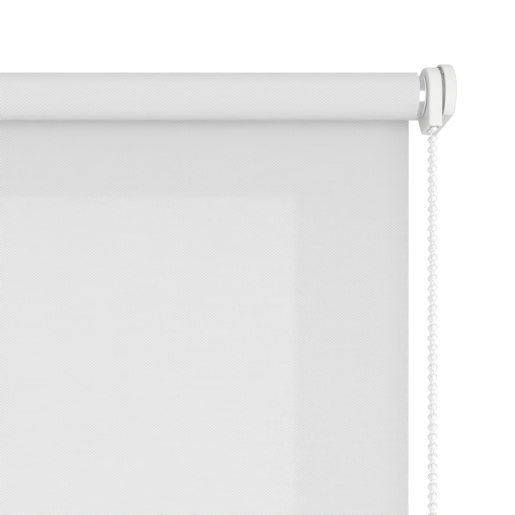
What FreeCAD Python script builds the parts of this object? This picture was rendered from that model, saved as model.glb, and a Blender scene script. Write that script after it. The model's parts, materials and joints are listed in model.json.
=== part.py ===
"""Chain-operated roller blind, lowered, as an assembly of its separate pieces.

Millimetres.  +Z is up, +X points to the chain end and -Y into the room.  The origin is
in the wall plane, level with the roller, half way between the two brackets' screw holes.
"""
import FreeCAD, Part
import math
import os
import Sketcher

V = FreeCAD.Vector
doc = FreeCAD.newDocument("roller_blind")
sheet = doc.addObject("Spreadsheet::Sheet", "sizes")

SIZES = {
    # fabric and roller
    "fabric_half": 580.0,
    "fabric_thick": 0.43,
    "drop": 1400.0,
    "sheet_gap": 0.3,
    "axis_out": 25.0,
    "roll_radius": 14.65,
    "tube_radius": 12.5,
    "tube_wall": 1.0,
    "tube_over": 3.6,
    "flange_thick": 0.8,
    "channel_half": 3.2,
    "channel_floor": 8.4,
    "channel_wall": 1.0,
    "mouth_half": 1.1,
    "rib_height": 0.85,
    # chain guard, outward from the fabric's edge
    "guard_near": 4.8,
    "guard_far": 12.5,
    "guard_radius": 17.5,
    "guard_wall": 1.2,
    "guard_bevel": 1.5,
    "chin_front_drop": 21.3,
    "chin_back_drop": 22.9,
    "chin_back_reach": 3.4,
    "lid_thick": 1.0,
    "slot_gap": 0.35,
    "hub_clear": 0.6,
    # end covers
    "cover_near": 14.0,
    "cover_far": 20.8,
    "cover_radius": 19.3,
    "cover_wall": 1.4,
    "cover_edge": 0.9,
    "cover_foot_drop": 19.3,
    "cover_turn": 226.0,
    "idle_cover_near": 6.5,
    "idle_cover_far": 13.3,
    # brackets
    "plate_thick": 1.6,
    "plate_near": 16.4,
    "idle_plate_near": 9.0,
    "plate_gap": 1.6,
    "foot_inner": 7.0,
    "foot_drop": 9.6,
    "bend_radius": 1.5,
    "screw_out": 5.0,
    "screw_rise": 6.0,
    "screw_hole": 2.25,
    # chain and wheel
    "bead": 4.1,
    "bead_pitch": 6.0,
    "cord_core": 1.4,
    "chain_out": 8.65,
    "wheel_pitch": 13.37,
    "wheel_radius": 12.2,
    "wheel_near": 6.1,
    "wheel_far": 11.2,
    "groove": 2.35,
    "pockets": 14.0,
    "pocket_radius": 1.9,
    "pocket_floor": 10.3,
    "strand_front": 13.37,
    "strand_back": 5.8,
    "strand_top": -24.6,
    "strand_gap": 2.4,
    "front_bead": 2.4,
    "back_bead": 2.8,
    "wrap": 240.0,
    "exit_bend": 4.5,
    # clutch
    "post_radius": 5.0,
    "post_end": 31.0,
    "post_flange": 14.0,
    "locator_rise": 9.0,
    "locator_radius": 1.6,
    "fit_gap": 0.1,
    "screw_radius": 1.55,
    "screw_waist": 2.2,
    "screw_head": 4.0,
    "running": 0.06,
    "hub_radius": 7.0,
    "hub_gap": 0.5,
    "spring_wire": 0.9,
    "spring_turns": 8.0,
    # idle pin
    "pin_radius": 3.0,
    "pin_collar": 4.8,
    "pin_cavity": 5.2,
    # bottom rail
    "rail_half": 4.5,
    "rail_height": 24.0,
    "rail_wall": 1.1,
    "rail_round": 2.6,
    "rail_mouth": 0.75,
    "rail_floor": 9.0,
    "cap_thick": 2.0,
}
for row, (alias, value) in enumerate(SIZES.items(), start=1):
    sheet.set("A%d" % row, alias)
    sheet.set("B%d" % row, str(value))
    sheet.setAlias("B%d" % row, alias)
doc.recompute()


def size(expression):
    """Value of an expression of the sheet's cells."""
    return float(sheet.evalExpression(expression))


def full(expression):
    """The same expression as an object outside the sheet has to write it."""
    words = []
    word = ""
    for letter in expression + " ":
        if letter.isalnum() or letter == "_":
            word += letter
            continue
        words.append("sizes." + word if word in SIZES else word)
        words.append(letter)
        word = ""
    return "".join(words).strip()


def bind(thing, **properties):
    """Bind properties to expressions; a double underscore stands for a dot."""
    for name, expression in properties.items():
        thing.setExpression(name.replace("__", "."), full(expression))


# ---------------------------------------------------------------- PartDesign helpers
def new_body(label, out=None):
    """A body; with out, its own X axis is the roller's axis."""
    body = doc.addObject("PartDesign::Body", label)
    body.Label = label
    if out:
        bind(body, Placement__Base__y=out)
    return body


def on_axis(label):
    return new_body(label, "-axis_out")


def plane(body, role):
    return [f for f in body.Origin.OriginFeatures if f.Role == role][0]


def sketch(body, role, offset="0"):
    made = body.newObject("Sketcher::SketchObject", body.Label + "_sketch")
    made.AttachmentSupport = [(plane(body, role), "")]
    made.MapMode = "FlatFace"
    bind(made, AttachmentOffset__Base__z=offset)
    return made


def pin_down(made, kind, edge, point, expression):
    """Hold one coordinate of a sketch point at an expression."""
    index = made.addConstraint(Sketcher.Constraint(kind, edge, point, size(expression)))
    made.setExpression("Constraints[%d]" % index, full(expression))


def outline(made, points):
    """Closed polygon through points given as pairs of expressions."""
    places = [V(size(x), size(y), 0) for x, y in points]
    count = len(points)
    first = made.GeometryCount
    for i in range(count):
        made.addGeometry(Part.LineSegment(places[i], places[(i + 1) % count]), False)
    for i in range(count):
        after = first + (i + 1) % count
        made.addConstraint(Sketcher.Constraint("Coincident", first + i, 2, after, 1))
    for i, (x, y) in enumerate(points):
        pin_down(made, "DistanceX", first + i, 1, x)
        pin_down(made, "DistanceY", first + i, 1, y)


def arc_outline(made, centre, radius, start, end, rest):
    """An arc from start to end degrees, then straight lines through rest and back."""
    middle = V(size(centre[0]), size(centre[1]), 0)
    r = size(radius)
    angles = [math.radians(size(start)), math.radians(size(end))]
    circle = Part.Circle(middle, V(0, 0, 1), r)
    arc = made.addGeometry(Part.ArcOfCircle(circle, angles[0], angles[1]), False)
    ends = [middle + V(r * math.cos(a), r * math.sin(a), 0) for a in angles]
    places = [ends[1]] + [V(size(x), size(y), 0) for x, y in rest] + [ends[0]]
    lines = []
    for here, there in zip(places, places[1:]):
        lines.append(made.addGeometry(Part.LineSegment(here, there), False))
    made.addConstraint(Sketcher.Constraint("Coincident", arc, 2, lines[0], 1))
    for before, after in zip(lines, lines[1:]):
        made.addConstraint(Sketcher.Constraint("Coincident", before, 2, after, 1))
    made.addConstraint(Sketcher.Constraint("Coincident", lines[-1], 2, arc, 1))
    pin_down(made, "DistanceX", arc, 3, centre[0])
    pin_down(made, "DistanceY", arc, 3, centre[1])
    index = made.addConstraint(Sketcher.Constraint("Radius", arc, r))
    made.setExpression("Constraints[%d]" % index, full(radius))
    for point, angle, words in ((1, angles[0], start), (2, angles[1], end)):
        steep = abs(math.sin(angle)) > abs(math.cos(angle))
        kind, part, origin = ("DistanceX", "cos", centre[0]) if steep else ("DistanceY", "sin", centre[1])
        pin_down(made, kind, arc, point, "%s + %s * %s((%s) * 1deg)" % (origin, radius, part, words))
    for line, (x, y) in zip(lines[1:], rest):
        pin_down(made, "DistanceX", line, 1, x)
        pin_down(made, "DistanceY", line, 1, y)


def ring(made, x, y, radius):
    edge = made.addGeometry(Part.Circle(V(size(x), size(y), 0), V(0, 0, 1), size(radius)), False)
    pin_down(made, "DistanceX", edge, 3, x)
    pin_down(made, "DistanceY", edge, 3, y)
    index = made.addConstraint(Sketcher.Constraint("Radius", edge, size(radius)))
    made.setExpression("Constraints[%d]" % index, full(radius))


def rectangle(x0, y0, x1, y1):
    return [(x0, y0), (x1, y0), (x1, y1), (x0, y1)]


def pad(body, profile, length):
    made = body.newObject("PartDesign::Pad", body.Label + "_pad")
    made.Profile = profile
    bind(made, Length=length)
    return made


def pocket(body, profile, length):
    """Cut towards the sketch's normal."""
    before = volume(body)
    made = body.newObject("PartDesign::Pocket", body.Label + "_pocket")
    made.Profile = profile
    made.Reversed = True
    bind(made, Length=length)
    must_cut(body, before)
    return made


def volume(body):
    doc.recompute()
    return body.Shape.Volume


def must_cut(body, before):
    if volume(body) >= before - 1e-6:
        raise RuntimeError("%s: a cut removed nothing" % body.Label)


def turn(body, points, cut=False):
    """Revolve a profile of (x, radius) points about the body's X axis."""
    profile = sketch(body, "XY_Plane")
    outline(profile, points)
    before = volume(body) if cut else 0
    made = body.newObject("PartDesign::Groove" if cut else "PartDesign::Revolution", body.Label + "_turn")
    made.Profile = profile
    made.ReferenceAxis = (plane(body, "X_Axis"), [""])
    made.Angle = 360.0
    if cut:
        must_cut(body, before)
    return made


def turn_circle(body, x, radius, size_of):
    """Groove of round section about the body's X axis."""
    profile = sketch(body, "XY_Plane")
    ring(profile, x, radius, size_of)
    before = volume(body)
    made = body.newObject("PartDesign::Groove", body.Label + "_round_groove")
    made.Profile = profile
    made.ReferenceAxis = (plane(body, "X_Axis"), [""])
    made.Angle = 360.0
    must_cut(body, before)


def around(body, feature, count):
    """Repeat a feature about the body's X axis."""
    made = body.newObject("PartDesign::PolarPattern", body.Label + "_around")
    made.Originals = [feature]
    made.Axis = (plane(body, "X_Axis"), [""])
    made.Angle = 360.0
    made.Occurrences = count
    body.Tip = made
    return made


def soften(body, radius, chosen):
    """Round the edges of the body that chosen(edge) picks."""
    doc.recompute()
    base = body.Tip
    names = []
    for number, edge in enumerate(base.Shape.Edges, start=1):
        if chosen(edge):
            names.append("Edge%d" % number)
    if not names:
        raise RuntimeError("%s: no edge to round" % body.Label)
    made = body.newObject("PartDesign::Fillet", body.Label + "_edge")
    made.Base = (base, names)
    bind(made, Radius=radius)
    body.Tip = made


def flat_at(edge, x):
    """True for an edge that lies in the plane across X at x."""
    box = edge.BoundBox
    return abs(box.XMin - x) < 1e-4 and abs(box.XMax - x) < 1e-4


# ---------------------------------------------------------------- end brackets and covers
def cover_shape(profile, inset):
    """Side view of a cover: round nose, flat top, lower edge sloping back to the wall."""
    radius = "(cover_radius - %s)" % inset
    foot = "-(cover_foot_drop - %s)" % inset
    rest = [("0", foot), ("0", radius)]
    arc_outline(profile, ("-axis_out", "0"), radius, "90", "cover_turn", rest)


def make_bracket(label, side, near):
    """Steel angle: a round-nosed side plate and a foot with two screw holes.

    side is +1 at the chain end and -1 at the idle end; near is the plate's inner face.
    """
    body = new_body(label)
    inner = "%d * (fabric_half + %s)" % (side, near)
    plate_start = inner if side > 0 else "%s - plate_thick" % inner
    far = "%d * (fabric_half + %s + plate_thick)" % (side, near)
    profile = sketch(body, "YZ_Plane", plate_start)
    cover_shape(profile, "plate_gap")
    pad(body, profile, "plate_thick")
    foot = sketch(body, "XZ_Plane")
    end = "%d * (fabric_half - foot_inner)" % side
    outline(foot, rectangle(end, "-foot_drop", far, "cover_radius - plate_gap"))
    pad(body, foot, "plate_thick")
    holes = sketch(body, "XZ_Plane")
    for rise in ("screw_rise", "-screw_rise"):
        ring(holes, "%d * (fabric_half + screw_out)" % side, rise, "screw_hole")
    pocket(body, holes, "2 * plate_thick")
    corner_x = size(inner)
    corner_y = -size("plate_thick")

    def bend(edge):
        box = edge.BoundBox
        upright = box.ZLength > size("cover_radius")
        return upright and abs(box.XMin - corner_x) < 1e-3 and abs(box.YMin - corner_y) < 1e-3

    soften(body, "bend_radius", bend)
    return body


def make_cover(label, side, near, far):
    """Moulded cap that slips over a bracket's side plate, open towards the roller."""
    body = new_body(label)
    near_x = "%d * (fabric_half + %s)" % (side, near)
    far_x = "%d * (fabric_half + %s)" % (side, far)
    low = near_x if side > 0 else far_x
    profile = sketch(body, "YZ_Plane", low)
    cover_shape(profile, "0")
    pad(body, profile, "%s - %s" % (far, near))
    soften(body, "cover_edge", lambda edge: flat_at(edge, size(far_x)) and edge.BoundBox.YMin < -1)
    hollow = sketch(body, "YZ_Plane", low if side > 0 else "%s + cover_wall" % far_x)
    cover_shape(hollow, "cover_wall")
    pocket(body, hollow, "%s - %s - cover_wall" % (far, near))
    soften(body, "0.3", lambda edge: flat_at(edge, size(near_x)) and outer_cover_edge(edge))
    return body


def outer_cover_edge(edge):
    """The nose and the top of the outer rim of a cover's open side."""
    box = edge.BoundBox
    on_nose = box.YMin < -size("axis_out") - size("cover_radius") + 0.1
    on_top = box.ZMin > size("cover_radius") - 0.1
    return on_nose or on_top


make_bracket("control_bracket", 1, "plate_near")
control = doc.getObject("control_bracket")
centre_hole = sketch(control, "YZ_Plane", "fabric_half + plate_near - 1")
ring(centre_hole, "-axis_out", "0", "screw_waist + fit_gap")
ring(centre_hole, "-axis_out", "locator_rise", "locator_radius + fit_gap")
pocket(control, centre_hole, "plate_thick + 2")
make_cover("control_cover", 1, "cover_near", "cover_far")

make_bracket("idle_bracket", -1, "idle_plate_near")
idle = doc.getObject("idle_bracket")
bush_hole = sketch(idle, "YZ_Plane", "-fabric_half - idle_plate_near - plate_thick - 1")
ring(bush_hole, "-axis_out", "0", "pin_radius + 2")
pocket(idle, bush_hole, "plate_thick + 2")
make_cover("idle_cover", -1, "idle_cover_near", "idle_cover_far")


# ---------------------------------------------------------------- chain guard
def tangent_angle():
    """Where the chin's back line meets the drum, in degrees from +Y."""
    y = size("chin_back_reach")
    z = -size("chin_back_drop")
    swing = math.degrees(math.acos(size("guard_radius") / math.hypot(y, z)))
    return math.degrees(math.atan2(z, y)) + swing


def guard_shape(profile, inset):
    """Side view of the guard: a drum with a chin hanging from its front."""
    radius = "(guard_radius - %s)" % inset
    front = "-axis_out - " + radius
    back = "-axis_out + chin_back_reach - %g * %s" % (mitre[0], inset)
    low_front = "-(chin_front_drop - %s)" % inset
    low_back = "-(chin_back_drop - %g * %s)" % (mitre[1], inset)
    rest = [(front, low_front), (back, low_back)]
    arc_outline(profile, ("-axis_out", "0"), radius, "%g" % tangent_angle(), "180", rest)


def corner_mitre():
    """How the chin's lower back corner moves, per millimetre of inset."""
    angle = math.radians(tangent_angle())
    back_normal = (-math.cos(angle), -math.sin(angle))
    run = size("guard_radius") + size("chin_back_reach")
    fall = size("chin_back_drop") - size("chin_front_drop")
    length = math.hypot(run, fall)
    floor_normal = (fall / length, run / length)
    det = back_normal[0] * floor_normal[1] - back_normal[1] * floor_normal[0]
    inward = -(floor_normal[1] - back_normal[1]) / det
    return (inward, (back_normal[0] - floor_normal[0]) / det)


mitre = corner_mitre()
guard = new_body("chain_guard")
profile = sketch(guard, "YZ_Plane", "fabric_half + guard_near")
guard_shape(profile, "0")
pad(guard, profile, "guard_far - guard_near")
soften(guard, "guard_bevel", lambda edge: flat_at(edge, size("fabric_half + guard_near")))
soften(guard, "0.35", lambda edge: flat_at(edge, size("fabric_half + guard_far")))
hollow = sketch(guard, "YZ_Plane", "fabric_half + guard_near + guard_wall")
guard_shape(hollow, "guard_wall")
pocket(guard, hollow, "guard_far - guard_near")
hub_hole = sketch(guard, "YZ_Plane", "fabric_half + guard_near - 1")
ring(hub_hole, "-axis_out", "0", "hub_radius + hub_clear")
pocket(guard, hub_hole, "guard_wall + 2")
slot = sketch(guard, "XY_Plane", "-chin_back_drop - 1")
slot_side = "(bead / 2 + slot_gap)"
outline(slot, rectangle(
    "fabric_half + chain_out - " + slot_side,
    "-axis_out - strand_front - " + slot_side,
    "fabric_half + chain_out + " + slot_side,
    "-axis_out - strand_back + " + slot_side))
pocket(guard, slot, "chin_back_drop - chin_front_drop + guard_wall + 1.5")
rib = sketch(guard, "YZ_Plane", "fabric_half + guard_near + guard_wall / 2")
rib_front = "-axis_out - strand_front + bead / 2 + 0.4"
rib_back = "-axis_out - strand_back - bead / 2 - 0.4"
outline(rib, rectangle(rib_front, "-chin_front_drop - 0.3", rib_back, "-chin_front_drop + 6"))
pad(guard, rib, "guard_far - lid_thick - guard_near - guard_wall / 2 - 0.05")

lid = new_body("guard_plate")
profile = sketch(lid, "YZ_Plane", "fabric_half + guard_far - lid_thick")
guard_shape(profile, "(guard_wall + 0.05)")
pad(lid, profile, "lid_thick")
lid_hole = sketch(lid, "YZ_Plane", "fabric_half + guard_far - lid_thick - 1")
ring(lid_hole, "-axis_out", "0", "post_radius + 0.05")
pocket(lid, lid_hole, "lid_thick + 2")


# ---------------------------------------------------------------- clutch
def out(distance):
    """A place beyond the fabric's edge at the chain end."""
    return "fabric_half + (%s)" % distance


axle = on_axis("clutch_axle")
turn(axle, [
    (out("-post_end"), "0"),
    (out("-post_end"), "post_radius"),
    (out("-29.3"), "post_radius"),
    (out("-29.3"), "post_radius - 0.8"),
    (out("-28.3"), "post_radius - 0.8"),
    (out("-28.3"), "post_radius"),
    (out("guard_far"), "post_radius"),
    (out("guard_far"), "post_flange"),
    (out("plate_near"), "post_flange"),
    (out("plate_near"), "0")])
locator = sketch(axle, "YZ_Plane", out("plate_near - 0.5"))
ring(locator, "0", "locator_rise", "locator_radius")
pad(axle, locator, "plate_thick + 0.5")
pilot = sketch(axle, "YZ_Plane", out("plate_near - 9"))
ring(pilot, "0", "0", "screw_radius + 0.05")
pocket(axle, pilot, "11")

clip = on_axis("axle_clip")
turn(clip, [
    (out("-29.25"), "post_radius - 0.75"),
    (out("-29.25"), "post_radius + 2"),
    (out("-28.35"), "post_radius + 2"),
    (out("-28.35"), "post_radius - 0.75")])

screw = on_axis("axle_screw")
turn(screw, [
    (out("plate_near - 8"), "0"),
    (out("plate_near - 8"), "0.6"),
    (out("plate_near - 6.8"), "screw_radius"),
    (out("plate_near"), "screw_radius"),
    (out("plate_near"), "screw_waist"),
    (out("plate_near + plate_thick"), "screw_waist"),
    (out("plate_near + plate_thick"), "screw_head"),
    (out("plate_near + plate_thick + 0.7"), "screw_head - 0.4"),
    (out("plate_near + plate_thick + 1.2"), "screw_head - 1.6"),
    (out("plate_near + plate_thick + 1.2"), "0")])
for across, high in (("1.8", "0.3"), ("0.3", "1.8")):
    cross = sketch(screw, "YZ_Plane", out("plate_near + plate_thick + 0.4"))
    outline(cross, rectangle("-" + across, "-" + high, across, high))
    pocket(screw, cross, "2")

wheel = on_axis("chain_wheel")
bore = "post_radius + running"
turn(wheel, [
    (out("1"), bore),
    (out("1"), "hub_radius"),
    (out("wheel_near"), "hub_radius"),
    (out("wheel_near"), "wheel_radius"),
    (out("wheel_far"), "wheel_radius"),
    (out("wheel_far"), bore)])
turn_circle(wheel, out("chain_out"), "wheel_pitch", "groove")
one_pocket = sketch(wheel, "XY_Plane", "pocket_floor")
ring(one_pocket, out("chain_out"), "0", "pocket_radius")
around(wheel, pocket(wheel, one_pocket, "wheel_radius"), int(SIZES["pockets"]))


def make_plug(label, side, bores):
    """Ribbed plastic plug in a tube end, with a flange and a notch for the tube's channel."""
    body = on_axis(label)
    reach = "(tube_radius - tube_wall - rib_height)"
    points = [(at(side, x), r) for x, r in bores]
    points += [
        (at(side, "tube_over + flange_thick"), "tube_radius"),
        (at(side, "tube_over"), "tube_radius"),
        (at(side, "tube_over"), reach),
        (at(side, "-38"), reach)]
    turn(body, points)
    rib_start = at(side, "-36") if side > 0 else at(side, "tube_over")
    one_rib = sketch(body, "YZ_Plane", rib_start)
    inside = "tube_radius - tube_wall"
    outline(one_rib, rectangle(inside + " - 2", "-0.7", inside + " - 0.05", "0.7"))
    around(body, pad(body, one_rib, "tube_over + 36"), 12)
    notch = sketch(body, "YZ_Plane", at(side, "-39") if side > 0 else at(side, "tube_over"))
    side_gap = "(channel_half + 0.3)"
    outline(notch, rectangle("-" + side_gap, "channel_floor - 0.3", side_gap, "tube_radius"))
    pocket(body, notch, "tube_over + 39")
    return body


def at(side, distance):
    """A place beyond the fabric's edge at either end."""
    return "%d * (fabric_half + %s)" % (side, distance)


plug = make_plug("drive_plug", 1, [
    ("-38", "8.05"),
    ("-28", "8.05"),
    ("-28", bore),
    ("-20", bore),
    ("-20", "post_radius + 1.3"),
    ("0.5", "post_radius + 1.3"),
    ("0.5", "hub_radius + hub_gap"),
    ("tube_over + flange_thick", "hub_radius + hub_gap")])
tang_slot = sketch(plug, "YZ_Plane", out("-20"))
outline(tang_slot, rectangle("post_radius", "-0.9", "post_radius + 3.2", "0.9"))
pocket(plug, tang_slot, "20.5")


def make_brake_spring(label, start):
    """Close-wound wrap spring on the post, its turns touching, with a driving tang."""
    turns = []
    pitch = 0.9 * SIZES["spring_wire"]
    for number in range(int(SIZES["spring_turns"])):
        coil = doc.addObject("Part::Torus", "%s_coil_%d" % (label, number))
        bind(coil, Radius1="post_radius + spring_wire / 2 + 0.05", Radius2="spring_wire / 2")
        middle = V(size(out(start)) + number * pitch, -size("axis_out"), 0)
        coil.Placement = FreeCAD.Placement(middle, FreeCAD.Rotation(V(0, 1, 0), 90))
        turns.append(coil)
    tang = doc.addObject("Part::Cylinder", label + "_tang")
    bind(tang, Radius="spring_wire / 2", Height="2.6")
    foot_y = size("-axis_out + post_radius + spring_wire / 2")
    tang.Placement = FreeCAD.Placement(V(size(out(start)), foot_y, 0), FreeCAD.Rotation(V(1, 0, 0), -90))
    turns.append(tang)
    whole = doc.addObject("Part::MultiFuse", label)
    whole.Label = label
    whole.Shapes = turns
    return whole


make_brake_spring("brake_spring_inner", "-18.5")
make_brake_spring("brake_spring_outer", "-8.5")


# ---------------------------------------------------------------- roller
tube = on_axis("roller_tube")
half = "(fabric_half + tube_over)"
profile = sketch(tube, "YZ_Plane", "-" + half)
ring(profile, "0", "0", "tube_radius")
pad(tube, profile, "2 * " + half)
inside = sketch(tube, "YZ_Plane", "-%s - 1" % half)
ring(inside, "0", "0", "tube_radius - tube_wall")
pocket(tube, inside, "2 * %s + 2" % half)
wall = sketch(tube, "YZ_Plane", "-" + half)
bury = "tube_radius - tube_wall / 2 - 0.4"
outline(wall, rectangle("-channel_half", "channel_floor", "channel_half", bury))
pad(tube, wall, "2 * " + half)
chamber = sketch(tube, "YZ_Plane", "-%s - 1" % half)
chamber_half = "(channel_half - channel_wall)"
chamber_floor = "channel_floor + channel_wall"
outline(chamber, rectangle("-" + chamber_half, chamber_floor, chamber_half, "tube_radius - tube_wall"))
pocket(tube, chamber, "2 * %s + 2" % half)
mouth = sketch(tube, "YZ_Plane", "-%s - 1" % half)
outline(mouth, rectangle("-mouth_half", chamber_floor, "mouth_half", "tube_radius + 1"))
pocket(tube, mouth, "2 * %s + 2" % half)

spline_bar = on_axis("fabric_spline")
profile = sketch(spline_bar, "YZ_Plane", "-fabric_half")
outline(profile, rectangle("-1.9", chamber_floor + " + 0.1", "1.9", chamber_floor + " + 1.5"))
pad(spline_bar, profile, "2 * fabric_half")
web = sketch(spline_bar, "YZ_Plane", "-fabric_half")
outline(web, rectangle("-0.25", chamber_floor + " + 1", "0.25", "tube_radius - 0.1"))
pad(spline_bar, web, "2 * fabric_half")

roll = on_axis("fabric_roll")
turn(roll, [
    ("-fabric_half", "tube_radius + 0.02"),
    ("-fabric_half", "roll_radius"),
    ("fabric_half", "roll_radius"),
    ("fabric_half", "tube_radius + 0.02")])

# ---------------------------------------------------------------- idle end
make_plug("idle_plug", -1, [
    ("-38", "6"),
    ("-30", "6"),
    ("-30", "2.4"),
    ("-28", "2.4"),
    ("-28", "pin_cavity"),
    ("-2.9", "pin_cavity"),
    ("-2.9", "pin_radius + running"),
    ("tube_over + flange_thick", "pin_radius + running")])

pin = on_axis("idle_pin")
turn(pin, [
    (at(-1, "11.4"), "0"),
    (at(-1, "11.4"), "pin_radius - 0.8"),
    (at(-1, "10.6"), "pin_radius"),
    (at(-1, "-3"), "pin_radius"),
    (at(-1, "-3"), "pin_collar"),
    (at(-1, "-5"), "pin_collar"),
    (at(-1, "-5"), "2"),
    (at(-1, "-18"), "2"),
    (at(-1, "-18"), "0")])

bush = on_axis("idle_bush")
turn(bush, [
    (at(-1, "idle_plate_near - 1.2"), "pin_radius + running"),
    (at(-1, "idle_plate_near - 1.2"), "pin_radius + 3.5"),
    (at(-1, "idle_plate_near"), "pin_radius + 3.5"),
    (at(-1, "idle_plate_near"), "pin_radius + 1.95"),
    (at(-1, "idle_plate_near + plate_thick + 0.8"), "pin_radius + 1.95"),
    (at(-1, "idle_plate_near + plate_thick + 0.8"), "pin_radius + running")])

pin_spring = on_axis("pin_spring")
wire = sketch(pin_spring, "XY_Plane")
ring(wire, at(-1, "-5.6"), "3.4", "0.4")
coil = pin_spring.newObject("PartDesign::AdditiveHelix", "pin_spring_coil")
coil.Profile = wire
coil.ReferenceAxis = (plane(pin_spring, "X_Axis"), [""])
coil.Mode = 1
coil.Pitch = 3.4
coil.Turns = 6.3

# ---------------------------------------------------------------- fabric sheet and bottom rail
hanging = doc.addObject("Part::Box", "fabric_sheet")
hanging.Label = "fabric_sheet"
bind(hanging, Length="2 * fabric_half", Width="fabric_thick", Height="drop")
bind(hanging, Placement__Base__x="-fabric_half")
bind(hanging, Placement__Base__y="-axis_out + roll_radius + sheet_gap")
bind(hanging, Placement__Base__z="-drop")

sheet_y = "(-axis_out + roll_radius + sheet_gap + fabric_thick / 2)"
rail_top = "(-drop + rail_floor)"
rail = new_body("bottom_rail", sheet_y)


def rail_sketch(body, offset, x_half, low, high):
    profile = sketch(body, "YZ_Plane", offset)
    outline(profile, rectangle("-" + x_half, low, x_half, high))
    return profile


def round_long_edges(body, radius):
    def corner(edge):
        box = edge.BoundBox
        outside = abs(abs(box.YMin) - size("rail_half")) < 1e-4
        ends = (size(rail_top), size(rail_top + " - rail_height"))
        return box.XLength > 1.5 and outside and min(abs(box.ZMin - z) for z in ends) < 1e-4

    doc.recompute()
    names = []
    for number, edge in enumerate(body.Tip.Shape.Edges, start=1):
        if corner(edge):
            names.append("Edge%d" % number)
    base = body.Tip
    made = body.newObject("PartDesign::Fillet", body.Label + "_round")
    made.Base = (base, names)
    bind(made, Radius=radius)
    body.Tip = made


pad(rail, rail_sketch(rail, "-fabric_half", "rail_half", rail_top + " - rail_height", rail_top),
    "2 * fabric_half")
round_long_edges(rail, "rail_round")
inner_half = "(rail_half - rail_wall)"
cut_start = "-fabric_half - 1"
cut_length = "2 * fabric_half + 2"
web_z = "(%s - rail_floor - 1.2)" % rail_top
low = rail_top + " - rail_height + rail_wall"
lower = rail_sketch(rail, cut_start, inner_half, low, web_z + " - rail_wall")
pocket(rail, lower, cut_length)
upper = rail_sketch(rail, cut_start, inner_half, web_z, rail_top + " - 2.2")
pocket(rail, upper, cut_length)
slit = rail_sketch(rail, cut_start, "rail_mouth", rail_top + " - 3", rail_top + " + 1")
pocket(rail, slit, cut_length)

rail_bead = new_body("rail_spline", sheet_y)
bead_face = sketch(rail_bead, "YZ_Plane", "-fabric_half + 4")
outline(bead_face, rectangle("-2.9", web_z + " + 0.1", "-0.6", rail_top + " - 2.4"))
pad(rail_bead, bead_face, "2 * fabric_half - 8")
other_face = sketch(rail_bead, "YZ_Plane", "-fabric_half + 4")
outline(other_face, rectangle("-2.9", web_z + " + 0.1", "2.9", web_z + " + 0.9"))
pad(rail_bead, other_face, "2 * fabric_half - 8")


def make_end_cap(label, side):
    """Moulded cap with a tongue that plugs into the rail's lower chamber."""
    body = new_body(label, sheet_y)
    start = "fabric_half" if side > 0 else "-fabric_half - cap_thick"
    pad(body, rail_sketch(body, start, "rail_half", rail_top + " - rail_height", rail_top), "cap_thick")
    round_long_edges(body, "rail_round")
    outer = size("fabric_half + cap_thick") * side
    soften(body, "0.6", lambda edge: flat_at(edge, outer))
    tongue_start = "fabric_half - 12" if side > 0 else "-fabric_half"
    fit = "(rail_half - rail_wall - 0.1)"
    low = rail_top + " - rail_height + rail_wall + 0.1"
    tongue = rail_sketch(body, tongue_start, fit, low, web_z + " - rail_wall - 0.1")
    pad(body, tongue, "12")
    return body


make_end_cap("rail_end_cap_left", -1)
make_end_cap("rail_end_cap_right", 1)


# ---------------------------------------------------------------- bead chain
def smooth_path(points, radii):
    """Straight runs joined by tangent arcs; one radius for each inner point."""
    edges = []
    here = points[0]
    for before, corner, after, radius in zip(points, points[1:], points[2:], radii):
        come = (corner - before).normalize()
        leave = (after - corner).normalize()
        half_turn = come.getAngle(leave) / 2
        reach = radius * math.tan(half_turn)
        start = corner - come * reach
        end = corner + leave * reach
        towards = (leave - come).normalize()
        middle = corner + towards * (radius / math.cos(half_turn) - radius)
        edges.append(Part.LineSegment(here, start).toShape())
        edges.append(Part.Arc(start, middle, end).toShape())
        here = end
    edges.append(Part.LineSegment(here, points[-1]).toShape())
    return Part.Wire(edges)


def open_radii(points):
    """The largest arc that each corner's two runs leave room for."""
    radii = []
    for before, corner, after in zip(points, points[1:], points[2:]):
        shorter = min((corner - before).Length, (after - corner).Length)
        half_turn = (corner - before).getAngle(after - corner) / 2
        radii.append(0.45 * shorter / math.tan(half_turn))
    return radii


def swept(path, radius):
    start = path.Edges[0]
    here = start.FirstParameter
    section = Part.Circle(start.valueAt(here), start.tangentAt(here), radius)
    tube_shape = path.makePipeShell([Part.Wire([section.toShape()])], True, True)
    expected = math.pi * radius ** 2 * path.Length
    if abs(tube_shape.Volume / expected - 1) > 0.01:
        raise RuntimeError("chain: volume %.1f, expected %.1f" % (tube_shape.Volume, expected))
    return tube_shape


def feature(label, shape):
    made = doc.addObject("Part::Feature", label)
    made.Label = label
    made.Shape = shape
    return made


chain_x = size("fabric_half + chain_out")
axis_y = -size("axis_out")
strand_top = size("strand_top")


def in_room(forward, z):
    """A point of the chain's plane, forward of the roller's axis."""
    return V(chain_x, axis_y - forward, z)


def wheel_path():
    """Up the front, over the wheel, and down past the guide rib to the back strand."""
    r = size("wheel_pitch")
    wrap = math.radians(size("wrap"))
    front = Part.LineSegment(in_room(r, strand_top), in_room(r, 0)).toShape()
    top = in_room(r * math.cos(wrap / 2), r * math.sin(wrap / 2))
    leave = in_room(r * math.cos(wrap), r * math.sin(wrap))
    over = Part.Arc(in_room(r, 0), top, leave).toShape()
    run = (size("strand_back") - r * math.cos(wrap)) / -math.sin(wrap)
    corner_z = r * math.sin(wrap) + run * math.cos(wrap)
    corner = in_room(size("strand_back"), corner_z)
    tail = smooth_path([leave, corner, in_room(size("strand_back"), strand_top)], [size("exit_bend")])
    return Part.Wire([front, over] + tail.Edges)


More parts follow.
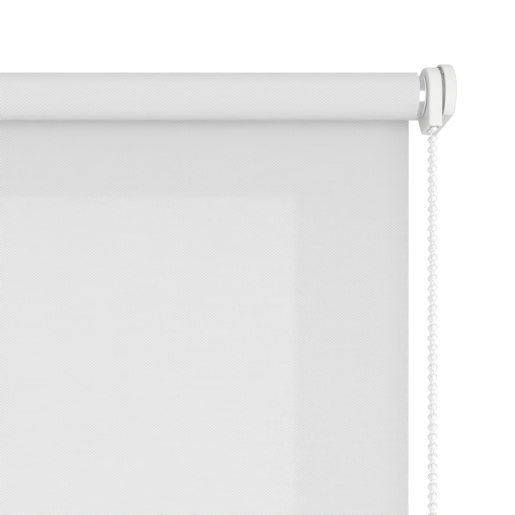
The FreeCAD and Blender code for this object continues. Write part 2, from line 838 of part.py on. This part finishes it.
held_path = wheel_path()
held = swept(held_path, size("cord_core") / 2)
beaded = held_path.Length - size("front_bead + back_bead")
gaps = round(beaded / size("bead_pitch"))
STEPS = 4000
marks = held_path.discretize(Number=STEPS + 1)
for number in range(gaps + 1):
    travel = (size("front_bead") + number * beaded / gaps) / held_path.Length
    held = held.fuse(Part.makeSphere(size("bead") / 2, marks[round(travel * STEPS)]))
feature("chain_on_wheel", held)

# The loop hangs straight from the guard and opens into a round bottom.
strand_middle = (size("strand_front") + size("strand_back")) / 2
strand_half = (size("strand_front") - size("strand_back")) / 2
loop_top = strand_top - size("strand_gap")
LOOP_CENTRE = -1000.0
LOOP_SIDE = 11.0
LOOP_STEP = 36.0
loop_corner = LOOP_SIDE / 2 / math.sin(math.radians(LOOP_STEP / 2))
descent = [(strand_half, loop_top), (strand_half, -870.0), (6.4, -925.0), (12.0, -970.0)]
bottom = []
for number in range(7):
    angle = math.radians(LOOP_STEP / 2 - number * LOOP_STEP)
    bottom.append((loop_corner * math.cos(angle), LOOP_CENTRE + loop_corner * math.sin(angle)))
ascent = [(-forward, z) for forward, z in reversed(descent)]
loop_points = [in_room(strand_middle + forward, z) for forward, z in descent + bottom + ascent]
loop_radii = open_radii(loop_points)
loop_path = smooth_path(loop_points, loop_radii)
print("chain loop %.1f mm long, radii" % loop_path.Length, [round(r, 1) for r in loop_radii])
for point in loop_points:
    print("    (%.4f, %.4f, %.4f)," % (point.x / 1000, point.y / 1000, point.z / 1000))
feature("chain_loop", swept(loop_path, size("bead") / 2))


def barrel(radius, waist, length, place):
    """Upright barrel: a cylinder that narrows towards both ends."""
    half = length / 2
    profile = [V(0, 0, -half), V(waist, 0, -half), V(radius, 0, -half + 2), V(radius, 0, half - 2),
               V(waist, 0, half), V(0, 0, half), V(0, 0, -half)]
    face = Part.Face(Part.makePolygon(profile))
    solid = face.revolve(V(0, 0, 0), V(0, 0, 1), 360)
    solid.translate(place)
    return solid


CONNECTOR_Z = -560.0
STOP_RADIUS = 4.0
feature("chain_connector", barrel(2.9, 2.4, 17.0, in_room(size("strand_back"), CONNECTOR_Z)))
stops = []
for forward, z in (("strand_front", -420.0), ("strand_back", -700.0)):
    stops.append(Part.makeSphere(STOP_RADIUS, in_room(size(forward), z)))
feature("chain_stops", Part.makeCompound(stops))

# ---------------------------------------------------------------- check and export
NODES = [
    "control_bracket", "control_cover", "chain_guard", "guard_plate", "clutch_axle", "axle_clip",
    "axle_screw", "chain_wheel", "drive_plug", "brake_spring_inner", "brake_spring_outer",
    "roller_tube", "fabric_spline", "fabric_roll", "idle_plug", "idle_pin", "pin_spring",
    "idle_bush", "idle_bracket", "idle_cover", "fabric_sheet", "bottom_rail", "rail_spline",
    "rail_end_cap_left", "rail_end_cap_right", "chain_on_wheel", "chain_loop", "chain_connector",
    "chain_stops",
]
doc.recompute()
for thing in doc.Objects:
    if "Invalid" in thing.State or "Error" in thing.State:
        raise RuntimeError("%s failed: %s" % (thing.Label, thing.State))
os.makedirs("parts", exist_ok=True)
for name in NODES:
    shape = doc.getObject(name).Shape
    if shape.isNull() or not shape.isValid() or not shape.Solids:
        raise RuntimeError("%s has no valid solid" % name)
    shape.exportStep("parts/%s.step" % name)
    print("%-20s %d solid(s) %9.0f mm3" % (name, len(shape.Solids), shape.Volume))
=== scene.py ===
"""Roller blind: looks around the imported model.  Metres, in the model's own frame."""
import json
import math

import bmesh
import bpy
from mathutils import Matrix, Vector


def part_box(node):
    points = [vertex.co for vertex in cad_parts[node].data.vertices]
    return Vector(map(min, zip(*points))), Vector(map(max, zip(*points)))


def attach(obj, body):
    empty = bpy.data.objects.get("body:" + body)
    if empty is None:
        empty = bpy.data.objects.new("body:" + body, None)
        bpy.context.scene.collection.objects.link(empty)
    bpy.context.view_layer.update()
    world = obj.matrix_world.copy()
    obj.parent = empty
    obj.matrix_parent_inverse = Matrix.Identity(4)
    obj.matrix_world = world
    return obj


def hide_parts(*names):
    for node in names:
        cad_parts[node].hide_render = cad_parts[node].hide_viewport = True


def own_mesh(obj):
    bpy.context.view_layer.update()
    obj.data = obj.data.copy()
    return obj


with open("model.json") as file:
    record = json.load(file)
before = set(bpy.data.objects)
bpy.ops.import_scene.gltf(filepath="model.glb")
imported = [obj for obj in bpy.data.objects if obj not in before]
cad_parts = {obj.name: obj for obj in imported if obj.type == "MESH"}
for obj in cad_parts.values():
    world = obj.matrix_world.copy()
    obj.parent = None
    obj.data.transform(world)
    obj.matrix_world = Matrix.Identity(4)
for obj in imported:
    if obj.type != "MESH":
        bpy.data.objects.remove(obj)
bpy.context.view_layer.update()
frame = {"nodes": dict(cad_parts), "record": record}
nodes = frame["nodes"]
MM = 0.001

# ---------------------------------------------------------------- places read from the frame
roll_low, roll_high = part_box("fabric_roll")
tube_low, tube_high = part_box("roller_tube")
sheet_low, sheet_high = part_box("fabric_sheet")
rail_low, rail_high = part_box("bottom_rail")
AXIS_Y = (roll_low.y + roll_high.y) / 2
AXIS_Z = (roll_low.z + roll_high.z) / 2
ROLL_RADIUS = (roll_high.z - roll_low.z) / 2
TUBE_RADIUS = (tube_high.y - tube_low.y) / 2
FABRIC_RIGHT = roll_high.x
FABRIC_LEFT = roll_low.x
FABRIC_THICK = sheet_high.y - sheet_low.y
SHEET_DROP = sheet_high.z - sheet_low.z


# ---------------------------------------------------------------- camera
def make_camera():
    """Below and left of the chain end, looking straight at the wall."""
    data = bpy.data.cameras.new("camera")
    data.sensor_width = 36.0
    data.lens = 46.35
    camera = bpy.data.objects.new("camera", data)
    bpy.context.scene.collection.objects.link(camera)
    left_of_edge = 97.07 * MM
    below_axis = 99.43 * MM
    from_axis = 410.2 * MM
    camera.location = (FABRIC_RIGHT - left_of_edge, AXIS_Y - from_axis, AXIS_Z - below_axis)
    camera.rotation_euler = (math.radians(90), 0, 0)
    data.clip_start = 0.02
    data.clip_end = 50.0
    bpy.context.scene.camera = camera


make_camera()


# ---------------------------------------------------------------- mesh helpers
def piece_from(name, build, body, smooth=True):
    """A new piece whose mesh build(bm) fills in."""
    mesh = bpy.data.meshes.new(name)
    bm = bmesh.new()
    bm.loops.layers.uv.new("weave")
    build(bm)
    bm.normal_update()
    bm.to_mesh(mesh)
    bm.free()
    for face in mesh.polygons:
        face.use_smooth = smooth
    piece = bpy.data.objects.new(name, mesh)
    bpy.context.scene.collection.objects.link(piece)
    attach(piece, body)
    return piece


def strip(bm, rows, coords, close=False):
    """Quads between rows of vertices; coords gives each vertex's weave coordinates."""
    layer = bm.loops.layers.uv["weave"]
    count = len(rows)
    for i in range(count if close else count - 1):
        here, there = rows[i], rows[(i + 1) % count]
        for j in range(len(here) - 1):
            quad = (here[j], there[j], there[j + 1], here[j + 1])
            face = bm.faces.new(quad)
            for loop in face.loops:
                loop[layer].uv = coords[loop.vert]


# ---------------------------------------------------------------- bead chain
BEAD = 4.1 * MM
BEAD_PROFILE = 12
BEAD_SIDES = 20
CORE = 1.4 * MM
CORE_SIDES = 8
CORE_STEP = 1.5 * MM
NECK_RADIUS = CORE * 0.62
FRONT_PITCH = 5.946 * MM
BACK_PITCH = 6.044 * MM
FRONT_BEAD = 1.2 * MM
BACK_BEAD = 0.8 * MM
STRAND_SHARE = 0.45
CHAIN_ROUTE = [
    (0.58865, -0.03837, -0.0270),
    (0.58865, -0.03837, -0.8700),
    (0.58865, -0.04099, -0.9250),
    (0.58865, -0.04659, -0.9700),
    (0.58865, -0.05151, -0.9945),
    (0.58865, -0.05151, -1.0055),
    (0.58865, -0.04505, -1.0144),
    (0.58865, -0.03459, -1.0178),
    (0.58865, -0.02412, -1.0144),
    (0.58865, -0.01766, -1.0055),
    (0.58865, -0.01766, -0.9945),
    (0.58865, -0.02259, -0.9700),
    (0.58865, -0.02818, -0.9250),
    (0.58865, -0.03080, -0.8700),
    (0.58865, -0.03080, -0.0270),
]


def route_points(route):
    """Points of the smooth line that a cord's route gives."""
    data = bpy.data.curves.new("chain_route", "CURVE")
    data.dimensions = "3D"
    data.resolution_u = 48
    spline = data.splines.new("NURBS")
    spline.points.add(len(route) - 1)
    for point, place in zip(spline.points, route):
        point.co = (*place, 1)
    spline.order_u = 3
    spline.use_endpoint_u = True
    holder = bpy.data.objects.new("chain_route", data)
    bpy.context.scene.collection.objects.link(holder)
    bpy.context.view_layer.update()
    line = bpy.data.meshes.new_from_object(holder)
    points = [v.co.copy() for v in line.vertices]
    bpy.data.objects.remove(holder)
    bpy.data.meshes.remove(line)
    return points


def lengths_along(points):
    total = [0.0]
    for here, there in zip(points, points[1:]):
        total.append(total[-1] + (there - here).length)
    return total


def place_at(points, travelled, distance):
    """The point and direction at a distance along a line."""
    low, high = 0, len(points) - 1
    while high - low > 1:
        middle = (low + high) // 2
        if travelled[middle] <= distance:
            low = middle
        else:
            high = middle
    run = points[high] - points[low]
    share = (distance - travelled[low]) / max(travelled[high] - travelled[low], 1e-9)
    return points[low] + run * share, run.normalized()


def side_axes(direction):
    across = Vector((1, 0, 0))
    return across, direction.cross(across).normalized()


def add_bead(bm, centre, direction):
    """A moulded ball with a neck at each end."""
    across, up = side_axes(direction)
    rings = []
    for i in range(1, BEAD_PROFILE):
        angle = math.pi * i / BEAD_PROFILE
        radius = BEAD / 2 * math.sin(angle)
        along = -BEAD / 2 * math.cos(angle)
        if i in (1, BEAD_PROFILE - 1):
            radius = NECK_RADIUS
        ring = []
        for j in range(BEAD_SIDES):
            turn = 2 * math.pi * j / BEAD_SIDES
            offset = across * math.cos(turn) + up * math.sin(turn)
            ring.append(bm.verts.new(centre + direction * along + offset * radius))
        rings.append(ring)
    for here, there in zip(rings, rings[1:]):
        for j in range(BEAD_SIDES):
            k = (j + 1) % BEAD_SIDES
            bm.faces.new((here[j], here[k], there[k], there[j]))
    bm.faces.new(list(reversed(rings[0])))
    bm.faces.new(rings[-1])


def add_core(bm, points, travelled, start, end):
    """The cord that the beads are moulded on."""
    count = max(2, int((end - start) / CORE_STEP))
    rings = []
    for i in range(count + 1):
        centre, direction = place_at(points, travelled, start + (end - start) * i / count)
        across, up = side_axes(direction)
        ring = []
        for j in range(CORE_SIDES):
            turn = 2 * math.pi * j / CORE_SIDES
            offset = across * math.cos(turn) + up * math.sin(turn)
            ring.append(bm.verts.new(centre + offset * CORE / 2))
        rings.append(ring)
    for here, there in zip(rings, rings[1:]):
        for j in range(CORE_SIDES):
            k = (j + 1) % CORE_SIDES
            bm.faces.new((here[j], here[k], there[k], there[j]))
    bm.faces.new(list(reversed(rings[0])))
    bm.faces.new(rings[-1])


chain_line = route_points(CHAIN_ROUTE)
chain_travel = lengths_along(chain_line)
chain_length = chain_travel[-1]


def bead_distances():
    """Beads down the front strand, round the bottom and up the back strand.

    The chain has one pitch of 6 mm.  The strands' spacings differ from it by under 1 % for looks only.
    """
    count = int(STRAND_SHARE * chain_length / FRONT_PITCH)
    front = [FRONT_BEAD + i * FRONT_PITCH for i in range(count + 1)]
    back = [chain_length - BACK_BEAD - i * BACK_PITCH for i in range(count + 1)]
    between = back[-1] - front[-1]
    gaps = round(2 * between / (FRONT_PITCH + BACK_PITCH))
    middle = [front[-1] + between * i / gaps for i in range(1, gaps)]
    return front + middle + back[::-1]


def build_chain(bm):
    for distance in bead_distances():
        centre, direction = place_at(chain_line, chain_travel, distance)
        add_bead(bm, centre, direction)
    add_core(bm, chain_line, chain_travel, 0.0, chain_length)


chain = piece_from("bead_chain", build_chain, "chain")
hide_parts("chain_loop")

# ---------------------------------------------------------------- fabric
WRAP_SEGMENTS = 120
ROLL_COLUMNS = 24
SHEET_COLUMNS = 72
SHEET_ROWS = 96
LAYER_GAP = 0.03 * MM
SHEET_TRIM = 0.2 * MM
SHEET_LEFT = FABRIC_LEFT + SHEET_TRIM
SHEET_WIDTH = FABRIC_RIGHT - FABRIC_LEFT - 2 * SHEET_TRIM
CUP_DEPTH = 1.1 * MM
RIPPLE_DEPTH = 0.25 * MM
EDGE_ANGLE = 40


def build_roll(bm):
    """The wound fabric as one spiral strip, from the sheet's top round to the tube."""
    outer = ROLL_RADIUS - FABRIC_THICK / 2
    inner = TUBE_RADIUS + FABRIC_THICK / 2
    turns = (outer - inner) / FABRIC_THICK
    steps = int(turns * WRAP_SEGMENTS)
    half = (FABRIC_THICK - LAYER_GAP) / 2
    width = FABRIC_RIGHT - FABRIC_LEFT
    columns = [FABRIC_LEFT + width * i / ROLL_COLUMNS for i in range(ROLL_COLUMNS + 1)]
    coords = {}
    sides = {}
    for sign in (1, -1):
        rows = []
        arc = 0.0
        for step in range(steps + 1):
            angle = 2 * math.pi * turns * step / steps
            radius = outer - (outer - inner) * step / steps
            row = []
            for x in columns:
                r = radius + sign * half
                vert = bm.verts.new((x, AXIS_Y + r * math.cos(angle), AXIS_Z + r * math.sin(angle)))
                coords[vert] = (x, arc)
                row.append(vert)
            arc += radius * 2 * math.pi * turns / steps
            rows.append(row)
        sides[sign] = rows
    strip(bm, sides[1], coords)
    strip(bm, [list(reversed(row)) for row in sides[-1]], coords)
    for end in (0, -1):
        edge_rows = [[sides[1][i][end], sides[-1][i][end]] for i in range(steps + 1)]
        if end == 0:
            edge_rows = [list(reversed(row)) for row in edge_rows]
        strip(bm, edge_rows, coords)
    strip(bm, [sides[-1][0], sides[1][0]], coords)
    strip(bm, [sides[1][-1], sides[-1][-1]], coords)
    bmesh.ops.recalc_face_normals(bm, faces=bm.faces[:])


def sheet_place(x, z):
    """Middle of the cloth: tangent to the roll, into the rail, nearly flat between."""
    down = (AXIS_Z - z) / SHEET_DROP
    across = (x - FABRIC_LEFT) / (FABRIC_RIGHT - FABRIC_LEFT)
    top_y = AXIS_Y + ROLL_RADIUS - FABRIC_THICK / 2
    foot_y = (rail_low.y + rail_high.y) / 2
    free = math.sin(math.pi * min(max(down, 0), 1)) ** 0.7
    cup = (2 * across - 1) ** 4 * CUP_DEPTH
    ripple = RIPPLE_DEPTH * math.sin(across * 17 + 1.3) * math.sin(down * 9 + across * 4)
    return top_y + (foot_y - top_y) * down + free * (cup + ripple)


def build_sheet(bm):
    coords = {}
    sides = {}
    for sign in (1, -1):
        rows = []
        for i in range(SHEET_ROWS + 1):
            z = AXIS_Z - SHEET_DROP * i / SHEET_ROWS
            row = []
            for j in range(SHEET_COLUMNS + 1):
                x = SHEET_LEFT + SHEET_WIDTH * j / SHEET_COLUMNS
                vert = bm.verts.new((x, sheet_place(x, z) + sign * FABRIC_THICK / 2, z))
                coords[vert] = (x, z - AXIS_Z)
                row.append(vert)
            rows.append(row)
        sides[sign] = rows
    strip(bm, sides[1], coords)
    strip(bm, sides[-1], coords)
    for end in (0, -1):
        edge_rows = [[sides[1][i][end], sides[-1][i][end]] for i in range(SHEET_ROWS + 1)]
        strip(bm, edge_rows, coords)
        strip(bm, [sides[1][end], sides[-1][end]], coords)
    bmesh.ops.recalc_face_normals(bm, faces=bm.faces[:])


def sharpen(piece, degrees):
    """Smooth shading except at edges turned by more than the angle."""
    piece.data.set_sharp_from_angle(angle=math.radians(degrees))


roll = piece_from("wound_fabric", build_roll, "roller")
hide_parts("fabric_roll")
sharpen(roll, EDGE_ANGLE)

hanging = piece_from("hanging_fabric", build_sheet, "brackets")
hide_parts("fabric_sheet")
sharpen(hanging, EDGE_ANGLE)
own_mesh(hanging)


def make_spring():
    """The coil as its own piece with a mesh of its own, carried by the roller; the real coil shortens
    when the pin slides in.
    """
    coil = nodes["pin_spring"]
    piece = bpy.data.objects.new("pin_spring_coil", coil.data.copy())
    piece.matrix_world = coil.matrix_world.copy()
    bpy.context.scene.collection.objects.link(piece)
    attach(piece, "roller")
    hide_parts("pin_spring")
    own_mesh(piece)
    return piece


pin_coil = make_spring()


# ---------------------------------------------------------------- materials
class Nodes:
    """A material's node tree with short calls for the nodes used here."""

    def __init__(self, name, colour, roughness, **settings):
        self.material = bpy.data.materials.new(name)
        self.material.use_nodes = True
        self.tree = self.material.node_tree
        self.shader = self.tree.nodes["Principled BSDF"]
        self.shader.inputs["Base Color"].default_value = (*colour, 1)
        self.shader.inputs["Roughness"].default_value = roughness
        for socket, value in settings.items():
            self.shader.inputs[socket.replace("_", " ")].default_value = value

    def add(self, kind, **settings):
        node = self.tree.nodes.new("ShaderNode" + kind)
        for name, value in settings.items():
            setattr(node, name, value)
        return node

    def link(self, source, target):
        self.tree.links.new(source, target)

    def maths(self, operation, first, second=None):
        node = self.add("Math", operation=operation)
        for socket, value in zip(node.inputs, (first, second)):
            if value is None:
                continue
            if isinstance(value, (int, float)):
                socket.default_value = value
            else:
                self.link(value, socket)
        return node.outputs[0]

    def object_place(self):
        return self.add("TexCoord").outputs["Object"]

    def noise(self, scale, detail=3.0, stretch=None):
        node = self.add("TexNoise")
        node.inputs["Scale"].default_value = scale
        node.inputs["Detail"].default_value = detail
        place = self.object_place()
        if stretch:
            mapping = self.add("Mapping")
            mapping.inputs["Scale"].default_value = stretch
            self.link(place, mapping.inputs["Vector"])
            place = mapping.outputs["Vector"]
        self.link(place, node.inputs["Vector"])
        return node.outputs["Fac"]

    def blend(self, factor, dark, light):
        node = self.add("MixRGB")
        node.inputs["Color1"].default_value = (*dark, 1)
        node.inputs["Color2"].default_value = (*light, 1)
        self.link(factor, node.inputs["Fac"])
        return node.outputs["Color"]

    def spread(self, value, low, high, from_low=0.0, from_high=1.0):
        node = self.add("MapRange")
        node.inputs["From Min"].default_value = from_low
        node.inputs["From Max"].default_value = from_high
        node.inputs["To Min"].default_value = low
        node.inputs["To Max"].default_value = high
        self.link(value, node.inputs["Value"])
        return node.outputs["Result"]

    def bump(self, height, distance, strength=1.0):
        node = self.add("Bump")
        node.inputs["Distance"].default_value = distance
        node.inputs["Strength"].default_value = strength
        self.link(height, node.inputs["Height"])
        self.link(node.outputs["Normal"], self.shader.inputs["Normal"])
        return node.outputs["Normal"]


def grey(value):
    return (value, value, value)


# One repeat of the weave, across and along the cloth.
WEAVE_ACROSS = 2.65 * MM
WEAVE_ALONG = 1.91 * MM


def weave_height(made):
    """Diagonal ribs one way, crossed by fainter ones the other way, broken into threads."""
    place = made.add("UVMap", uv_map="weave").outputs["UV"]
    parts = made.add("SeparateXYZ")
    made.link(place, parts.inputs[0])
    across = made.maths("MULTIPLY", parts.outputs["X"], 2 * math.pi / WEAVE_ACROSS)
    along = made.maths("MULTIPLY", parts.outputs["Y"], 2 * math.pi / WEAVE_ALONG)
    ribs = made.maths("SINE", made.maths("ADD", across, along))
    crossing = made.maths("SINE", made.maths("SUBTRACT", across, along))
    pattern = made.maths("ADD", ribs, made.maths("MULTIPLY", crossing, 0.35))
    threads = made.maths("SINE", made.maths("MULTIPLY", along, 4))
    pattern = made.maths("ADD", pattern, made.maths("MULTIPLY", threads, 0.12))
    return made.spread(pattern, 0.0, 1.0, -1.4, 1.4)


def fabric_material(name, tone, contrast, through_share):
    """Matt woven polyester that lets some light through."""
    made = Nodes(name, grey(tone), 0.85, Sheen_Weight=0.08, Sheen_Roughness=0.5)
    made.shader.inputs["Specular IOR Level"].default_value = 0.25
    height = weave_height(made)
    slub = made.noise(260.0, 2.0, (0.12, 1.0, 2.5))
    woven = made.maths("ADD", height, made.maths("MULTIPLY", slub, 0.25))
    low, high = tone - contrast, tone + contrast
    colour = made.blend(made.maths("MULTIPLY", woven, 0.8), grey(low), grey(high))
    made.link(colour, made.shader.inputs["Base Color"])
    normal = made.bump(woven, 0.05 * MM, 0.7)
    through = made.add("BsdfTranslucent")
    made.link(colour, through.inputs["Color"])
    made.link(normal, through.inputs["Normal"])
    mix = made.add("MixShader")
    mix.inputs["Fac"].default_value = through_share
    output = made.tree.nodes["Material Output"]
    made.link(made.shader.outputs["BSDF"], mix.inputs[1])
    made.link(through.outputs["BSDF"], mix.inputs[2])
    made.link(mix.outputs["Shader"], output.inputs["Surface"])
    return made.material


def plastic_material(name, colour, roughness, grain=0.012, scale=900.0):
    """Moulded plastic: a fine spark-eroded grain and faint flow marks."""
    made = Nodes(name, colour, roughness, Coat_Weight=0.08, Coat_Roughness=0.25)
    fine = made.noise(scale, 2.0)
    flow = made.noise(35.0, 2.0)
    darker = tuple(c * 0.965 for c in colour)
    made.link(made.blend(flow, darker, colour), made.shader.inputs["Base Color"])
    uneven = made.spread(fine, roughness - 0.05, roughness + 0.07)
    made.link(uneven, made.shader.inputs["Roughness"])
    made.bump(fine, grain * MM)
    return made.material


def metal_material(name, colour, roughness, stretch, grain=0.004, scale=300.0):
    """Drawn or rolled metal: streaks along the working direction."""
    made = Nodes(name, colour, roughness, Metallic=1.0)
    streak = made.noise(scale, 4.0, stretch)
    dull = tuple(c * 0.86 for c in colour)
    made.link(made.blend(streak, dull, colour), made.shader.inputs["Base Color"])
    uneven = made.spread(streak, roughness - 0.06, roughness + 0.08)
    made.link(uneven, made.shader.inputs["Roughness"])
    made.bump(streak, grain * MM)
    return made.material


def clear_plastic_material():
    made = Nodes("milky_plastic", (0.84, 0.85, 0.86), 0.22, Transmission_Weight=0.35, IOR=1.5)
    cloudy = made.blend(made.noise(120.0), (0.78, 0.79, 0.80), (0.88, 0.89, 0.90))
    made.link(cloudy, made.shader.inputs["Base Color"])
    made.bump(made.noise(700.0), 0.01 * MM)
    return made.material


def powder_coat_material(name, tone):
    """White powder coat with its faint orange peel."""
    made = Nodes(name, grey(tone), 0.35, Coat_Weight=0.2, Coat_Roughness=0.15)
    peel = made.noise(420.0, 1.0)
    colour = made.blend(made.noise(6.0), grey(tone - 0.02), grey(tone + 0.02))
    made.link(colour, made.shader.inputs["Base Color"])
    made.bump(peel, 0.03 * MM, 0.6)
    return made.material


# One cloth in two tones: the hanging sheet's lighter tone is painted light and the wound roll's darker
# tone is painted shade, not a difference in the cloth itself.
sheet_cloth_painted_light = fabric_material("hanging_cloth_painted_light", tone=0.80, contrast=0.054, through_share=0.30)
roll_cloth_painted_shade = fabric_material("wound_cloth_painted_shade", tone=0.74, contrast=0.062, through_share=0.12)
hanging.data.materials.append(sheet_cloth_painted_light)
roll.data.materials.append(roll_cloth_painted_shade)
white_plastic = plastic_material("white_moulding", (0.76, 0.76, 0.755), roughness=0.4)
pale_plastic = plastic_material("pale_moulding", (0.80, 0.80, 0.79), roughness=0.48)
chain_plastic = plastic_material(
    "chain_moulding", (0.85, 0.85, 0.845), roughness=0.28, grain=0.004, scale=1500.0
)
DRAWN_ALONG_X = (0.03, 1.0, 1.0)
DRAWN_ALONG_Y = (1.0, 0.2, 1.0)
aluminium = metal_material("mill_aluminium", (0.80, 0.81, 0.82), 0.24, DRAWN_ALONG_X)
steel = metal_material("bright_steel", (0.66, 0.66, 0.67), 0.25, DRAWN_ALONG_Y)
milky = clear_plastic_material()
powder = powder_coat_material("rail_coat", 0.82)
painted = powder_coat_material("bracket_coat", 0.86)
chain.data.materials.append(chain_plastic)
pin_coil.data.materials.clear()
pin_coil.data.materials.append(steel)

FINISHES = {
    "white_plastic": white_plastic,
    "pale_plastic": pale_plastic,
    "chain_plastic": chain_plastic,
    "clear_plastic": milky,
    "bracket_steel": painted,
    "bright_steel": steel,
    "tube_aluminium": aluminium,
    "rail_paint": powder,
    "blind_fabric": sheet_cloth_painted_light,
}


def finish_nodes():
    """Each CAD node takes the material of its slot in the record."""
    for part in frame["record"]["subparts"]:
        node = nodes[part["node"]]
        for slot in node.material_slots:
            slot.link = "OBJECT"
            slot.material = FINISHES[part["material_slot"]]
        if not node.material_slots:
            node.data.materials.append(FINISHES[part["material_slot"]])


finish_nodes()


# ---------------------------------------------------------------- stage and light
FLOOR_HALF = 3.0
FLOOR_GAP = 0.03
SHOWN_WHITE = 1.05
LOW_LIGHT = 0.84
UPPER_LIGHT = 0.64
KEY_POWER = 7.8
FILL_POWER = 3.9
TOP_POWER = 3.6
WINDOW_POWER = 2.0
WINDOW_SPREAD = 20.0
WINDOW_SIDE = 73 * MM
WINDOW_TOP = 60.5 * MM
WINDOW_FOOT = 60 * MM
WINDOW_BEHIND = 8 * MM


def make_floor():
    half = FLOOR_HALF
    z = rail_low.z - FLOOR_GAP
    mesh = bpy.data.meshes.new("floor")
    corners = [(-half, -half, z), (half, -half, z), (half, half, z), (-half, half, z)]
    mesh.from_pydata(corners, [], [(0, 1, 2, 3)])
    floor = bpy.data.objects.new("floor", mesh)
    bpy.context.scene.collection.objects.link(floor)
    made = Nodes("pale_floor", grey(0.86), 0.8)
    made.link(made.blend(made.noise(3.0), grey(0.85), grey(0.88)), made.shader.inputs["Base Color"])
    mesh.materials.append(made.material)


def area_light(name, place, target, size, power, spread=180.0):
    data = bpy.data.lights.new(name, "AREA")
    data.shape = "RECTANGLE"
    data.size = size[0]
    data.size_y = size[1]
    data.energy = power
    data.spread = math.radians(spread)
    light = bpy.data.objects.new(name, data)
    light.location = place
    light.rotation_euler = (Vector(target) - Vector(place)).to_track_quat("-Z", "Y").to_euler()
    light.visible_camera = False
    bpy.context.scene.collection.objects.link(light)
    return light


def make_world():
    """White to the eye.  As light: pale below and a little dimmer above the horizon."""
    world = bpy.data.worlds.new("studio")
    bpy.context.scene.world = world
    world.use_nodes = True
    tree = world.node_tree
    background = tree.nodes["Background"]
    shown = tree.nodes.new("ShaderNodeBackground")
    shown.inputs["Color"].default_value = (1, 1, 1, 1)
    shown.inputs["Strength"].default_value = SHOWN_WHITE
    place = tree.nodes.new("ShaderNodeTexCoord")
    parts = tree.nodes.new("ShaderNodeSeparateXYZ")
    height = tree.nodes.new("ShaderNodeMapRange")
    height.inputs["From Min"].default_value = -1.0
    height.inputs["From Max"].default_value = 1.0
    ramp = tree.nodes.new("ShaderNodeValToRGB")
    steps = [(0.3, LOW_LIGHT), (0.55, UPPER_LIGHT)]
    for element, (position, level) in zip(ramp.color_ramp.elements, steps):
        element.position = position
        element.color = (level, level, level, 1)
    tree.links.new(place.outputs["Generated"], parts.inputs[0])
    tree.links.new(parts.outputs["Z"], height.inputs["Value"])
    tree.links.new(height.outputs["Result"], ramp.inputs["Fac"])
    tree.links.new(ramp.outputs["Color"], background.inputs["Color"])
    eye = tree.nodes.new("ShaderNodeLightPath")
    mix = tree.nodes.new("ShaderNodeMixShader")
    tree.links.new(eye.outputs["Is Camera Ray"], mix.inputs["Fac"])
    tree.links.new(background.outputs["Background"], mix.inputs[1])
    tree.links.new(shown.outputs["Background"], mix.inputs[2])
    tree.links.new(mix.outputs["Shader"], tree.nodes["World Output"].inputs["Surface"])


def make_studio():
    """Key in front of the chain end, fill from below and light from above, all soft."""
    aim = Vector((FABRIC_RIGHT - 0.1, AXIS_Y, AXIS_Z))
    target = aim + Vector((0, 0, -0.02))
    area_light("key_light", aim + Vector((0, -1.2, -0.22)), target, (2.0, 1.3), KEY_POWER)
    fill = area_light("fill_light", aim + Vector((0, -0.9, -1.0)), target, (1.8, 0.6), FILL_POWER)
    above = area_light("top_light", aim + Vector((0, -0.25, 1.0)), target, (1.8, 0.5), TOP_POWER)
    for light in (fill, above):
        light.visible_glossy = False


def make_window():
    """Daylight through a window close behind the cloth, narrower than it on all sides."""
    right = FABRIC_RIGHT - WINDOW_SIDE
    left = FABRIC_LEFT + WINDOW_SIDE
    top = AXIS_Z - WINDOW_TOP
    foot = rail_high.z + WINDOW_FOOT
    middle = Vector(((left + right) / 2, AXIS_Y + ROLL_RADIUS + WINDOW_BEHIND, (top + foot) / 2))
    facing = middle + Vector((0, -1, 0))
    size = (right - left, top - foot)
    area_light("window_light", middle, facing, size, WINDOW_POWER, WINDOW_SPREAD)


make_floor()
make_world()
make_studio()
make_window()
bpy.context.scene.view_settings.view_transform = "Standard"
